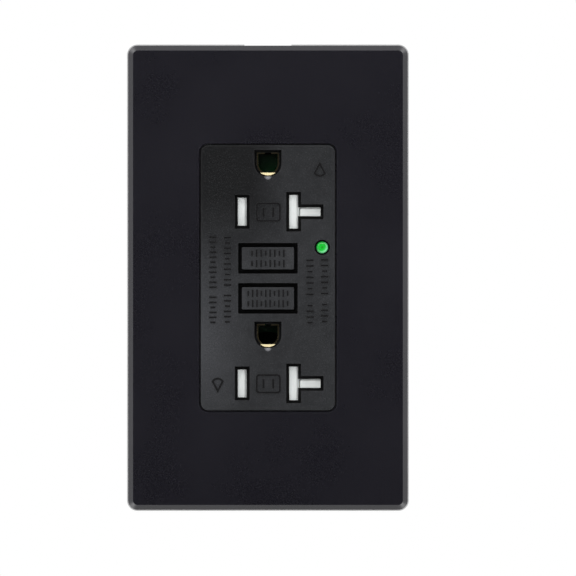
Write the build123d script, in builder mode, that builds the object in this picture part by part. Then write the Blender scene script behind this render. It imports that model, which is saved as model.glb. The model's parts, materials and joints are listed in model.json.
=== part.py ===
"""Duplex ground-fault receptacle with a screwless wall plate, built as it comes apart on a bench.

Millimetres. X runs to the right, Z up and Y into the wall; the wall surface is the plane y = 0.
The origin is the middle of the mounting strap's back face, halfway between the two box screws.
"""

import os
from math import atan, degrees, radians, sin

from build123d import *

# Wall plate
PLATE_W, PLATE_H, PLATE_DEPTH = 69.6, 115.2, 6.0
PLATE_WALL = 1.8
PLATE_CORNER_R, PLATE_INNER_R = 2.6, 2.0
PLATE_BEVEL = 1.2  # the 45 degree edge round the front
PLATE_DRAFT = 3.0  # degrees, on the side walls
OPENING_W, OPENING_H, OPENING_R = 33.8, 66.2, 2.1
PRY_NOTCH_W, PRY_NOTCH_DEPTH = 11.6, 0.6
PLATE_SCREW_Z = 48.42  # 96.84 mm apart, the standard plate screw spacing

# Receptacle face
FACE_W, FACE_H, FACE_R = 33.2, 65.6, 1.9
FACE_FRONT = -6.3
FACE_BACK = -1.3  # where the cover sits on the strap
FACE_SKIN = 2.0
FACE_WALL = 1.4
MARK_W, MARK_RISE = 0.48, 0.18  # stroke and height of the moulded marks

# Outlets: the same pattern twice, ground pin uppermost
BLADE_LINES = {"upper": 16.3, "lower": -26.1}
GROUND_ABOVE_BLADES = 11.9
BLADE_X = 6.35  # blades stand 12.7 mm apart
SLOT_W, HOT_SLOT_H, NEUTRAL_SLOT_H = 2.2, 6.9, 8.3
LEG_END_X = 13.0  # outer end of the neutral slot's sideways leg
RECESS = 0.75  # the cover's slots are wider than the shutter frame's by this much all round
GROUND_HOLE_R = 3.4
GROUND_THROAT_R = 2.95  # behind the tapered mouth of the hole
GROUND_PIN_R = 2.4
PIN_HOLE_R = 2.75  # in the shutter frame and the carrier
LIP_SLOT_X = (-1.85, 1.85)  # cut below it for the contact's lip

# Buttons and light
BUTTON_W, BUTTON_H = 12.9, 5.5
WELL_W, WELL_H = 14.75, 7.6
BUTTON_Z = {"test": 4.8, "reset": -5.1}
FLANGE_W, FLANGE_H = 16.2, 8.8
LIGHT_X, LIGHT_Z, LIGHT_R = 13.4, 7.5, 1.55

# Strap
STRAP_T = 1.3
STRAP_W = 34.2
STRAP_LENGTH = 105.6
BOX_SCREW_Z = 41.67  # 83.34 mm apart, the standard device box spacing
SCREW_6_R = 1.75  # 6-32 screws
SCREW_8_R = 2.08  # 8-32 screws
CASE_SCREW_R = 1.2
CLEARANCE = 0.05  # round a screw in its thread

# Body behind the wall
CASE_W, CASE_H, CASE_BACK, CASE_WALL = 41.0, 68.6, 27.0, 1.6
CARRIER_W, CARRIER_H, CARRIER_BACK = 33.4, 65.0, 12.0
DECK = 2.6  # back of the carrier's front wall
CASE_SCREWS = [(side * 13.0, z) for side in (-1, 1) for z in (28.8, -12.0)]
RAIL_X = 9.9  # contact strips stand at this distance either side
SHEET = 0.6  # brass sheet
BOARD_FRONT, BOARD_T = 23.8, 1.2

# Terminals
TERMINAL_Z = 19.0
TERMINAL_Y = 17.0
TERMINAL_X, TERMINAL_T = 16.9, 0.8
CLAMP_X, CLAMP_T = 12.6, 1.0
WIRE_X, WIRE_OFFSET, WIRE_HOLE_R = 15.25, 3.75, 1.55
GROUND_TAB_X, GROUND_TAB_Z, GROUND_TAB_Y = 17.5, -28.6, 7.0

# Trip mechanism
PIN_R, PIN_NECK_R = 1.25, 0.8
LATCH_Y = 10.4
LATCH_T = 0.8
TRIP_STROKE = 2.0  # of the plunger and the latch plate
PLUNGER_Y, PLUNGER_R = 18.0, 1.9
PLUNGER_TIP_Z = 1.05
BOBBIN_Z = (3.0, 16.0)
ARM_X, ARM_Y, ARM_T = 7.7, 11.85, 0.4
ARM_HINGE_Z = -14.0
SENSOR_Z = -22.0


def wall_plane(y):
    """Sketch plane parallel to the wall at depth y: local x is X and local y is Z, facing the room."""
    return Plane.XZ.offset(-y)


def block(x, y, z, mode=Mode.ADD, corner=0.0):
    """Adds or cuts a block given its extents, low and high, along X, Y and Z."""
    width, height = x[1] - x[0], z[1] - z[0]
    with BuildSketch(wall_plane(y[1])) as outline:
        with Locations(((x[0] + x[1]) / 2, (z[0] + z[1]) / 2)):
            if corner:
                RectangleRounded(width, height, corner)
            else:
                Rectangle(width, height)
    extrude(outline.sketch, amount=y[1] - y[0], mode=mode)


def rod(radius, y, at=(0, 0), mode=Mode.ADD):
    """Adds or cuts a cylinder along Y, between two depths, centred on X and Z."""
    with BuildSketch(wall_plane(y[1])) as outline:
        with Locations(at):
            Circle(radius)
    extrude(outline.sketch, amount=y[1] - y[0], mode=mode)


def side_rod(radius, x, y, z, mode=Mode.ADD, sides=0):
    """Adds or cuts a cylinder, or a prism with that many sides, along X between two places."""
    with BuildSketch(Plane.YZ.offset(x[0])) as outline:
        with Locations((y, z)):
            if sides:
                RegularPolygon(radius, sides)
            else:
                Circle(radius)
    extrude(outline.sketch, amount=x[1] - x[0], mode=mode)


def upright_rod(radius, z, x=0.0, y=0.0, mode=Mode.ADD):
    """Adds or cuts a cylinder along Z between two heights."""
    with BuildSketch(Plane.XY.offset(z[0])) as outline:
        with Locations((x, y)):
            Circle(radius)
    extrude(outline.sketch, amount=z[1] - z[0], mode=mode)


def mirrored(span, side):
    """An extent on the right, or its mirror image on the left."""
    return span if side > 0 else (-span[1], -span[0])


def coil_spring(start, direction, radius, wire, length, turns):
    """A coil spring of round wire that fills its length, from start along direction."""
    first = Vector(*start) + Vector(*direction) * (wire / 2)
    rise = length - wire
    with BuildPart() as spring:
        with BuildLine() as path:
            Helix(rise / turns, rise, radius, center=first, direction=direction)
        with BuildSketch(Plane(origin=path.line @ 0, z_dir=path.line % 0)):
            Circle(wire / 2)
        sweep(is_frenet=True)
    return spring


def save(piece, name):
    piece.part.label = name
    export_step(piece.part, f"parts/{name}.step")


def slot_outlines(grow):
    """The hot slot and the T-shaped neutral slot about the blade line, grown all round."""
    with BuildSketch() as outlines:
        with Locations((-BLADE_X, 0)):
            Rectangle(SLOT_W + 2 * grow, HOT_SLOT_H + 2 * grow)
        with Locations((BLADE_X, 0)):
            Rectangle(SLOT_W + 2 * grow, NEUTRAL_SLOT_H + 2 * grow)
        leg = LEG_END_X + grow - BLADE_X
        with Locations((BLADE_X + leg / 2, 0)):
            Rectangle(leg, SLOT_W + 2 * grow)
    return outlines.sketch


def ground_outline(radius):
    """D-shaped outline about the ground pin: flat above, round below."""
    with BuildSketch() as outline:
        with BuildLine():
            Polyline((-radius, 0), (-radius, radius), (radius, radius), (radius, 0))
            RadiusArc((radius, 0), (-radius, 0), radius)
        make_face()
    return outline.sketch


def cut_outline(outline, z, y, taper=0.0):
    """Cuts a flat outline, drawn about the origin, from depth y[1] out to y[0], at height z."""
    with BuildSketch(wall_plane(y[1])) as cutter:
        with Locations((0, z)):
            add(outline)
    extrude(cutter.sketch, amount=y[1] - y[0], taper=taper, mode=Mode.SUBTRACT)


def raise_outline(outline, at, surface, rise):
    """Raises a flat outline, drawn about the origin, from a surface at that depth."""
    with BuildSketch(wall_plane(surface)) as mark:
        with Locations(at):
            add(outline)
    extrude(mark.sketch, amount=rise)


os.makedirs("parts", exist_ok=True)

# ---------------------------------------------------------------- wall plate
# The cover clips over the sub plate, which the plate screws hold to the strap.
SIDE_DEPTH = PLATE_DEPTH - PLATE_BEVEL
SKIN_BACK = -PLATE_DEPTH + PLATE_WALL
SUB_FRONT, SUB_BACK = -2.8, -STRAP_T
SUB_W, SUB_H = 65.4, 111.0
CLIP_RISE = 0.2

with BuildPart() as cover_plate:
    with BuildSketch(wall_plane(0)):
        RectangleRounded(PLATE_W, PLATE_H, PLATE_CORNER_R)
    extrude(amount=SIDE_DEPTH, taper=PLATE_DRAFT)
    extrude(cover_plate.faces().sort_by(Axis.Y)[0], amount=PLATE_BEVEL, taper=45)
    with BuildSketch(wall_plane(0)):
        RectangleRounded(PLATE_W - 2 * PLATE_WALL, PLATE_H - 2 * PLATE_WALL, PLATE_INNER_R)
    extrude(amount=-SKIN_BACK, mode=Mode.SUBTRACT)
    block((-OPENING_W / 2 - 1.4, OPENING_W / 2 + 1.4), (SKIN_BACK, SUB_FRONT - 0.1),
          (-OPENING_H / 2 - 1.4, OPENING_H / 2 + 1.4), corner=OPENING_R + 1.4)
    block((-OPENING_W / 2, OPENING_W / 2), (-PLATE_DEPTH - 1, 0),
          (-OPENING_H / 2, OPENING_H / 2), Mode.SUBTRACT, OPENING_R)
    chamfer(cover_plate.faces().sort_by(Axis.Y)[0].inner_wires().edges(), 0.25)
    for side in (-1, 1):  # clip ribs inside the long walls
        for z in (-36, 0, 36):
            inner = PLATE_W / 2 - PLATE_WALL
            block(mirrored((inner - CLIP_RISE, inner + 0.5), side), (-1.4, -0.6), (z - 5, z + 5))
    # pry notch in the top edge, with a deeper slot where a blade goes under the rim
    block((-PRY_NOTCH_W / 2, PRY_NOTCH_W / 2), (-SIDE_DEPTH, 0),
          (PLATE_H / 2 - PRY_NOTCH_DEPTH, PLATE_H / 2 + 1), Mode.SUBTRACT)
    block((-PRY_NOTCH_W / 2 + 0.8, PRY_NOTCH_W / 2 - 0.8), (-1.5, 0),
          (PLATE_H / 2 - 2.6, PLATE_H / 2 + 1), Mode.SUBTRACT)
save(cover_plate, "cover_plate")

with BuildPart() as sub_plate:
    block((-SUB_W / 2, SUB_W / 2), (SUB_FRONT, SUB_BACK), (-SUB_H / 2, SUB_H / 2), corner=1.4)
    with BuildSketch(wall_plane(0)) as skirt:
        RectangleRounded(SUB_W, SUB_H, 1.4)
        RectangleRounded(SUB_W - 3.0, SUB_H - 3.0, 1.0, mode=Mode.SUBTRACT)
    extrude(skirt.sketch, amount=STRAP_T)
    block((-OPENING_W / 2 - 0.3, OPENING_W / 2 + 0.3), (SUB_FRONT, 0),
          (-OPENING_H / 2 - 0.3, OPENING_H / 2 + 0.3), Mode.SUBTRACT, OPENING_R)
    for end in (-1, 1):
        rod(SCREW_6_R + 0.25, (SUB_FRONT - 1, 0), (0, end * PLATE_SCREW_Z), Mode.SUBTRACT)
        rod(4.0, (SUB_FRONT - 1, 0), (0, end * BOX_SCREW_Z), Mode.SUBTRACT)
        for side in (-1, 1):  # round lightening holes, two by each screw
            rod(2.5, (SUB_FRONT - 1, 0), (side * 26, end * 46), Mode.SUBTRACT)
    block((-5, 5), (SUB_FRONT, 0), (SUB_H / 2 - 1.4, SUB_H / 2 + 1), Mode.SUBTRACT)
save(sub_plate, "sub_plate")

with BuildPart() as plate_screws:
    for z in (-PLATE_SCREW_Z, PLATE_SCREW_Z):
        rod(3.3, (SUB_FRONT - 0.9, SUB_FRONT), (0, z))
        rod(SCREW_6_R, (SUB_FRONT - 0.1, 4.5), (0, z))
        block((-3.4, 3.4), (SUB_FRONT - 1, SUB_FRONT - 0.45), (z - 0.4, z + 0.4), Mode.SUBTRACT)
save(plate_screws, "plate_screws")

# ---------------------------------------------------------------- receptacle face
INNER = FACE_FRONT + FACE_SKIN  # back of the cover's skin
DISH_R = 0.95
MOUTH_TAPER = degrees(atan((GROUND_HOLE_R - GROUND_THROAT_R) / FACE_SKIN))


def tally(count, words, pitch, height, along):
    """Rows of plain bars in groups, standing where a moulded legend would be."""
    length = (count - 1) * pitch
    with BuildSketch() as bars:
        for i in range(count):
            if i in words:
                continue
            tall = height if i % 3 else 0.7 * height
            place = i * pitch - length / 2
            with Locations((0, place) if along == "z" else (place, 0)):
                if along == "z":
                    Rectangle(tall, MARK_W)
                else:
                    Rectangle(MARK_W, tall)
    return bars.sketch


def drop_outline():
    """A water drop, for the weather-resistant mark."""
    with BuildSketch() as drop:
        with BuildLine():
            RadiusArc((-1.55, -0.6), (1.55, -0.6), -1.75)
            Polyline((1.55, -0.6), (0, 2.4), (-1.55, -0.6))
        make_face()
        offset(amount=-0.55, mode=Mode.SUBTRACT)
    return drop.sketch


def shutter_outline():
    """Two blades behind a closed frame, for the shutter mark."""
    with BuildSketch() as mark:
        RectangleRounded(6.2, 4.8, 0.8)
        RectangleRounded(5.2, 3.8, 0.4, mode=Mode.SUBTRACT)
        with GridLocations(2.4, 0, 2, 1):
            Rectangle(0.6, 2.4)
    return mark.sketch


with BuildPart() as face_cover:
    block((-FACE_W / 2, FACE_W / 2), (FACE_FRONT, FACE_BACK), (-FACE_H / 2, FACE_H / 2), corner=FACE_R)
    fillet(face_cover.faces().sort_by(Axis.Y)[0].edges(), 0.45)
    block((-FACE_W / 2 + FACE_WALL, FACE_W / 2 - FACE_WALL), (INNER, FACE_BACK),
          (-FACE_H / 2 + FACE_WALL, FACE_H / 2 - FACE_WALL), Mode.SUBTRACT, 1.0)
    for place in CASE_SCREWS:
        rod(2.3, (INNER - 0.2, FACE_BACK), place)
        rod(CASE_SCREW_R + CLEARANCE, (INNER - 0.6, FACE_BACK), place, Mode.SUBTRACT)
    for blade_z in BLADE_LINES.values():
        cut_outline(slot_outlines(RECESS), blade_z, (FACE_FRONT - 1, INNER))
        pin_z = blade_z + GROUND_ABOVE_BLADES
        cut_outline(ground_outline(GROUND_THROAT_R), pin_z, (FACE_FRONT, INNER), -MOUTH_TAPER)
        # dished lead-in below the hole
        with Locations((0, FACE_FRONT - 0.1, pin_z - GROUND_HOLE_R + DISH_R / 2)):
            Sphere(DISH_R, mode=Mode.SUBTRACT)
    for z in BUTTON_Z.values():
        block((-WELL_W / 2, WELL_W / 2), (FACE_FRONT - 1, INNER), (z - WELL_H / 2, z + WELL_H / 2),
              Mode.SUBTRACT, 0.3)
    rod(LIGHT_R + 0.38, (FACE_FRONT - 1, INNER), (LIGHT_X, LIGHT_Z), Mode.SUBTRACT)
    for x, middle, count, gap, pitch in (
        (-13.6, -0.5, 18, 6, 1.24), (-10.0, -0.5, 17, 6, 1.30),
        (10.4, -3.4, 12, 4, 1.40), (14.0, -3.2, 12, 4, 1.38),
    ):
        raise_outline(tally(count, (gap,), pitch, 1.9, "z"), (x, middle), FACE_FRONT, MARK_RISE)
    for x, z, outline in (
        (0.1, 16.2, shutter_outline()), (0.1, -26.2, shutter_outline()),
        (12.8, 26.4, drop_outline()), (-12.4, -26.2, drop_outline().rotate(Axis.Z, 180)),
    ):
        raise_outline(outline, (x, z), FACE_FRONT, MARK_RISE)
save(face_cover, "face_cover")

# ---------------------------------------------------------------- buttons
FLANGE_FRONT, FLANGE_BACK = INNER + 0.15, INNER + 0.95
LEAF_Y, LEAF_T, LEAF_HINGE_X = 3.2, 0.3, -7.6
SPRING_SEAT = -5.3


def button(z, bars, pitch):
    """Returns a push button with its retaining flange and two rows of plain bars on its face."""
    with BuildPart() as made:
        block((-BUTTON_W / 2, BUTTON_W / 2), (FACE_FRONT, FLANGE_FRONT + 0.1),
              (z - BUTTON_H / 2, z + BUTTON_H / 2), corner=0.3)
        fillet(made.faces().sort_by(Axis.Y)[0].edges(), 0.25)
        block((-FLANGE_W / 2, FLANGE_W / 2), (FLANGE_FRONT, FLANGE_BACK),
              (z - FLANGE_H / 2, z + FLANGE_H / 2), corner=0.6)
        for row in (-1.3, 1.25):
            raise_outline(tally(bars, (), pitch, 1.9, "x"), (0, z + row), FACE_FRONT, MARK_RISE)
    return made


test_blank = button(BUTTON_Z["test"], 8, 1.12)
with BuildPart() as test_button:
    add(test_blank.part)
    block((-2.0, 2.0), (FLANGE_BACK, LEAF_Y - 0.95), (BUTTON_Z["test"] - 1.5, BUTTON_Z["test"] + 1.5))
    with Locations((0, LEAF_Y - 0.95, BUTTON_Z["test"])):
        Sphere(0.9)
save(test_button, "test_button")

reset_blank = button(BUTTON_Z["reset"], 10, 1.08)
with BuildPart() as reset_button:
    add(reset_blank.part)
    rod(2.6, (SPRING_SEAT, FLANGE_BACK), (0, BUTTON_Z["reset"]), Mode.SUBTRACT)
save(reset_button, "reset_button")

# The pin's neck lies in the latch plate, and its shoulder is a 45 degree cone behind the plate.
RESET_TRAVEL = 1.8
NECK_FRONT = LATCH_Y - RESET_TRAVEL - 0.15
SHOULDER = LATCH_Y + LATCH_T + 0.1
TIP_END = SHOULDER + 2.6
with BuildPart() as reset_pin:
    with BuildSketch(Plane.XY.offset(BUTTON_Z["reset"])) as half:
        with BuildLine():
            Polyline(
                (0, SPRING_SEAT), (PIN_R, SPRING_SEAT), (PIN_R, NECK_FRONT), (PIN_NECK_R, NECK_FRONT),
                (PIN_NECK_R, SHOULDER), (PIN_R, SHOULDER + PIN_R - PIN_NECK_R),
                (PIN_R, SHOULDER + 1.2), (0.4, TIP_END), (0, TIP_END), close=True,
            )
        make_face()
    revolve(half.sketch, Axis((0, 0, BUTTON_Z["reset"]), (0, 1, 0)))
save(reset_pin, "reset_pin")

reset_spring = coil_spring((0, SPRING_SEAT + 0.02, BUTTON_Z["reset"]), (0, 1, 0), 2.0, 0.4,
                           -SPRING_SEAT - 0.04, 5)
save(reset_spring, "reset_spring")

with BuildPart() as test_leaf:
    z = BUTTON_Z["test"]
    block((-8.8, 2.6), (LEAF_Y, LEAF_Y + LEAF_T), (z - 1.6, z + 1.6), corner=0.4)
    rod(0.7, (LEAF_Y + LEAF_T - 0.1, LEAF_Y + LEAF_T + 0.4), (1.6, z))
    rod(0.6, (LEAF_Y - 1, LEAF_Y + 1), (LEAF_HINGE_X, z), Mode.SUBTRACT)
save(test_leaf, "test_leaf")

with BuildPart() as light_pipe:
    rod(LIGHT_R, (FACE_FRONT + 0.1, -2.0), (LIGHT_X, LIGHT_Z))
    fillet(light_pipe.faces().sort_by(Axis.Y)[0].edges(), 0.9)
    rod(LIGHT_R + 0.2, (-2.0, -1.5), (LIGHT_X, LIGHT_Z))
    rod(1.1, (-1.5, BOARD_FRONT - 1.0), (LIGHT_X, LIGHT_Z))
save(light_pipe, "light_pipe")

# ---------------------------------------------------------------- shutters
# Each outlet has a frame with a main shutter, which slides left over the hot slot and the upright
# part of the neutral slot, and a small leg shutter, which slides down over the sideways leg.
FRAME_X, FRAME_Z = (-13.2, 15.0), (-5.2, 6.5)
FRAME_FRONT, FRAME_BACK = INNER + 0.1, -1.5
FRAME_SKIN = 0.6
SLIDE_Y = (FRAME_FRONT + FRAME_SKIN + 0.1, FRAME_BACK - 0.1)
MAIN_POCKET_X, MAIN_POCKET_Z = (-12.5, 8.0), (-4.55, 5.85)
LEG_POCKET_X, LEG_POCKET_Z = (7.9, 14.2), (-4.5, 1.35)
LEFT_EDGE, RIGHT_EDGE = -7.9, 7.8
LOBE_HALF_W, LOBE_TOP = 4.6, 15.0  # the frame reaches up round the ground hole

for name, blade_z in BLADE_LINES.items():
    with BuildPart() as frame:
        block(FRAME_X, (FRAME_FRONT, FRAME_BACK),
              (blade_z + FRAME_Z[0], blade_z + FRAME_Z[1]), corner=0.6)
        lobe_z = (blade_z + FRAME_Z[1] - 1, blade_z + LOBE_TOP)
        block((-LOBE_HALF_W, LOBE_HALF_W), (FRAME_FRONT, FRAME_BACK), lobe_z, corner=0.4)
        pin_z = blade_z + GROUND_ABOVE_BLADES
        cut_outline(ground_outline(PIN_HOLE_R), pin_z, (FRAME_FRONT - 1, FRAME_BACK))
        lip_slot_z = (pin_z - GROUND_THROAT_R, pin_z)
        block(LIP_SLOT_X, (FRAME_FRONT - 1, FRAME_BACK), lip_slot_z, Mode.SUBTRACT)
        for x, z in ((MAIN_POCKET_X, MAIN_POCKET_Z), (LEG_POCKET_X, LEG_POCKET_Z)):
            block(x, (FRAME_FRONT + FRAME_SKIN, FRAME_BACK),
                  (blade_z + z[0], blade_z + z[1]), Mode.SUBTRACT)
        cut_outline(slot_outlines(0), blade_z, (FRAME_FRONT - 1, FRAME_FRONT + FRAME_SKIN))
    save(frame, f"{name}_shutter_frame")

    with BuildPart() as shutter:
        block((LEFT_EDGE, RIGHT_EDGE), SLIDE_Y, (blade_z - 4.4, blade_z + 5.7))
        block((-5.0, 5.05), (SLIDE_Y[0] - 1, SLIDE_Y[1] + 1),
              (blade_z - 5, blade_z + 4.5), Mode.SUBTRACT)
        ramps = shutter.faces().filter_by(Plane.XZ).sort_by(Axis.Y)[0].edges().filter_by(Axis.Z)
        chamfer(ramps.group_by(Axis.X)[-1], 0.75)
        chamfer(shutter.edges().filter_by(Axis.Z).group_by(Axis.Y)[0].group_by(Axis.X)[1], 0.75)
    save(shutter, f"{name}_shutter")

    with BuildPart() as leg_shutter:
        block((7.95, 13.4), SLIDE_Y, (blade_z - 1.25, blade_z + 1.25))
        chamfer(leg_shutter.edges().filter_by(Axis.X).group_by(Axis.Y)[0].sort_by(Axis.Z)[-1], 0.6)
    save(leg_shutter, f"{name}_leg_shutter")

    middle = (SLIDE_Y[0] + SLIDE_Y[1]) / 2
    free = LEFT_EDGE - MAIN_POCKET_X[0]
    spring = coil_spring((MAIN_POCKET_X[0] + 0.02, middle, blade_z), (1, 0, 0), 0.7, 0.2,
                         free - 0.04, 6)
    save(spring, f"{name}_shutter_spring")
    free = -1.25 - LEG_POCKET_Z[0]
    spring = coil_spring((10.7, middle, blade_z + LEG_POCKET_Z[0] + 0.02), (0, 0, 1), 0.7, 0.15,
                         free - 0.04, 3)
    save(spring, f"{name}_leg_spring")

# ---------------------------------------------------------------- strap and grounding
STRAP_WINDOW = 0.2  # round each shutter frame
EAR_W, NECK_W = 41.0, 24.0
EAR_START = 45.5

with BuildPart() as mounting_strap:
    with BuildSketch(wall_plane(0)) as outline:
        RectangleRounded(STRAP_W, CARRIER_H + 2.6, 1.0)
        Rectangle(NECK_W, STRAP_LENGTH - 2)
        with GridLocations(0, STRAP_LENGTH + EAR_START - STRAP_LENGTH / 2, 1, 2):
            RectangleRounded(EAR_W, STRAP_LENGTH / 2 - EAR_START, 1.6)
    extrude(outline.sketch, amount=STRAP_T)
    for blade_z in BLADE_LINES.values():
        block((FRAME_X[0] - STRAP_WINDOW, FRAME_X[1] + STRAP_WINDOW), (-2, 1),
              (blade_z + FRAME_Z[0] - STRAP_WINDOW, blade_z + FRAME_Z[1] + STRAP_WINDOW),
              Mode.SUBTRACT, 0.6)
        cut_outline(ground_outline(GROUND_HOLE_R), blade_z + GROUND_ABOVE_BLADES, (-2, 1))
    block((-9.2, 9.2), (-2, 1), (-9.3, 9.3), Mode.SUBTRACT, 1.0)
    rod(LIGHT_R, (-2, 1), (LIGHT_X, LIGHT_Z), Mode.SUBTRACT)
    for place in CASE_SCREWS:
        rod(CASE_SCREW_R + 0.15, (-2, 1), place, Mode.SUBTRACT)
    for end in (-1, 1):
        rod(SCREW_6_R + CLEARANCE, (-2, 1), (0, end * PLATE_SCREW_Z), Mode.SUBTRACT)
        with BuildSketch(wall_plane(1)) as slot:
            with Locations((0, end * BOX_SCREW_Z)):
                SlotOverall(7.6, 4.2)
        extrude(slot.sketch, amount=3, mode=Mode.SUBTRACT)
    # tab bent back along the case's side for the green ground screw
    tab_z = (GROUND_TAB_Z - 3.8, GROUND_TAB_Z + 3.8)
    block((-GROUND_TAB_X - STRAP_T, -STRAP_W / 2 + 1), (-STRAP_T, 0), tab_z)
    block((-GROUND_TAB_X - STRAP_T, -GROUND_TAB_X), (-STRAP_T, GROUND_TAB_Y + 5), tab_z)
    side_rod(SCREW_8_R + CLEARANCE, (-25, -15), GROUND_TAB_Y, GROUND_TAB_Z, Mode.SUBTRACT)
save(mounting_strap, "mounting_strap")

# Each ground contact is a brass trough, open above, that grips the U-shaped ground pin.
TROUGH_T, TROUGH_FRONT, TROUGH_BACK = 0.7, 4.5, 9.5
LIP_Y, LIP_ROOT_Y, LIP_T = -3.4, 5.0, 0.33
LIP_FOOT, LIP_TOP = 2.88, 2.25  # how far below the pin's middle the lip starts and ends
LIP_LEAN = radians(20)
for name, blade_z in BLADE_LINES.items():
    pin_z = blade_z + GROUND_ABOVE_BLADES
    with BuildPart() as contact:
        with BuildSketch(wall_plane(TROUGH_BACK)) as trough:
            with Locations((0, pin_z)):
                add(ground_outline(GROUND_PIN_R + TROUGH_T))
                add(ground_outline(GROUND_PIN_R), mode=Mode.SUBTRACT)
            with Locations((0, pin_z + GROUND_PIN_R + TROUGH_T / 2)):
                Rectangle(1.6, TROUGH_T * 2, mode=Mode.SUBTRACT)
        extrude(trough.sketch, amount=TROUGH_BACK - TROUGH_FRONT)
    # a lip at the trough's foot comes forward through the frame and leans back
    lip_foot = pin_z - LIP_FOOT
    lip_tip_y = LIP_Y + (LIP_FOOT - LIP_TOP) * sin(LIP_LEAN)
    with BuildPart() as lip:
        with BuildSketch(Plane.YZ.offset(-GROUND_PIN_R)):
            with BuildLine():
                Polyline(
                    (LIP_ROOT_Y, lip_foot), (LIP_Y, lip_foot), (lip_tip_y, pin_z - LIP_TOP),
                    (lip_tip_y + LIP_T, pin_z - LIP_TOP), (LIP_Y + 0.6, lip_foot + LIP_T),
                    (LIP_ROOT_Y, lip_foot + LIP_T), close=True,
                )
            make_face()
        extrude(amount=2 * GROUND_PIN_R)
        with BuildSketch(wall_plane(0)) as throat:
            with Locations((0, pin_z)):
                Circle(GROUND_THROAT_R - CLEARANCE)
        extrude(throat.sketch, amount=LIP_ROOT_Y - LIP_Y, both=True, mode=Mode.INTERSECT)
    with BuildPart() as ground_contact:
        add(contact.part)
        add(lip.part)
    save(ground_contact, f"{name}_ground_contact")

with BuildPart() as ground_screw:
    head_x = -GROUND_TAB_X - STRAP_T - 0.05
    side_rod(4.1, (head_x - 2.2, head_x), GROUND_TAB_Y, GROUND_TAB_Z, sides=6)
    side_rod(SCREW_8_R, (head_x, -13.2), GROUND_TAB_Y, GROUND_TAB_Z)
    block((head_x - 2.3, head_x - 1.3), (GROUND_TAB_Y - 3.2, GROUND_TAB_Y + 3.2),
          (GROUND_TAB_Z - 0.5, GROUND_TAB_Z + 0.5), Mode.SUBTRACT)
save(ground_screw, "ground_screw")

with BuildPart() as box_screws:
    for z in (-BOX_SCREW_Z, BOX_SCREW_Z):
        rod(3.6, (-STRAP_T - 1.4, -STRAP_T), (0, z))
        rod(SCREW_6_R - 0.15, (-STRAP_T - 0.1, 0.1), (0, z))
        rod(SCREW_6_R, (0, 23.0), (0, z))
        block((-3.7, 3.7), (-STRAP_T - 1.5, -STRAP_T - 0.8), (z - 0.5, z + 0.5), Mode.SUBTRACT)
save(box_screws, "box_screws")

# ---------------------------------------------------------------- contact carrier
PAD_FRONT = FRAME_BACK
POCKET_FRONT = 1.0
WELL_HALF_W = RAIL_X + SHEET / 2 + 0.15

with BuildPart() as contact_carrier:
    block((-CARRIER_W / 2, CARRIER_W / 2), (0, CARRIER_BACK),
          (-CARRIER_H / 2, CARRIER_H / 2), corner=1.0)
    for blade_z in BLADE_LINES.values():
        block(FRAME_X, (PAD_FRONT, 0), (blade_z + FRAME_Z[0], blade_z + FRAME_Z[1]), corner=0.6)
        for x in ((-RAIL_X - 0.6, -3.9), (3.9, 14.2)):
            block(x, (POCKET_FRONT, CARRIER_BACK), (blade_z - 5.0, blade_z + 5.0), Mode.SUBTRACT)
        cut_outline(slot_outlines(0.15), blade_z, (PAD_FRONT - 1, POCKET_FRONT))
        pin_z = blade_z + GROUND_ABOVE_BLADES
        cut_outline(ground_outline(PIN_HOLE_R), pin_z, (-1, DECK))
        block(LIP_SLOT_X, (-1, DECK), (pin_z - GROUND_THROAT_R, pin_z), Mode.SUBTRACT)
        cut_outline(ground_outline(GROUND_PIN_R + TROUGH_T + 0.1), pin_z, (DECK, CARRIER_BACK))
    block((-WELL_HALF_W, WELL_HALF_W), (DECK, CARRIER_BACK), (-21.5, 13.0), Mode.SUBTRACT)
    for side in (-1, 1):  # channels that lead the strips out to the load terminals
        channel = mirrored((RAIL_X, CARRIER_W / 2 + 1), side)
        block(channel, (7.8, CARRIER_BACK), (11.5, 12.7), Mode.SUBTRACT)
    z = BUTTON_Z["test"]
    block((-2.3, 2.3), (-1, DECK), (z - 1.8, z + 1.8), Mode.SUBTRACT)
    rod(PIN_R + 0.25, (-1, DECK), (0, BUTTON_Z["reset"]), Mode.SUBTRACT)
    rod(0.9, (DECK - 0.1, DECK + 0.3), (LEAF_HINGE_X, z))  # peg that holds the test leaf
    rod(0.5, (DECK - 0.1, LEAF_Y + 0.8), (LEAF_HINGE_X, z))
    rod(1.3, (-1, CARRIER_BACK), (LIGHT_X, LIGHT_Z), Mode.SUBTRACT)
    for place in CASE_SCREWS:
        rod(CASE_SCREW_R + 0.15, (-1, CARRIER_BACK), place, Mode.SUBTRACT)
    block((-CARRIER_W / 2 - 1, -12.3), (DECK, CARRIER_BACK),
          (-CARRIER_H / 2 - 1, GROUND_TAB_Z + 4.2), Mode.SUBTRACT)
save(contact_carrier, "contact_carrier")


def between_outlets(blade_z, low, high):
    """A height span measured from a blade line towards the middle of the receptacle."""
    toward = -1 if blade_z > 0 else 1
    ends = sorted((blade_z + toward * low, blade_z + toward * high))
    return tuple(ends)


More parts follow.
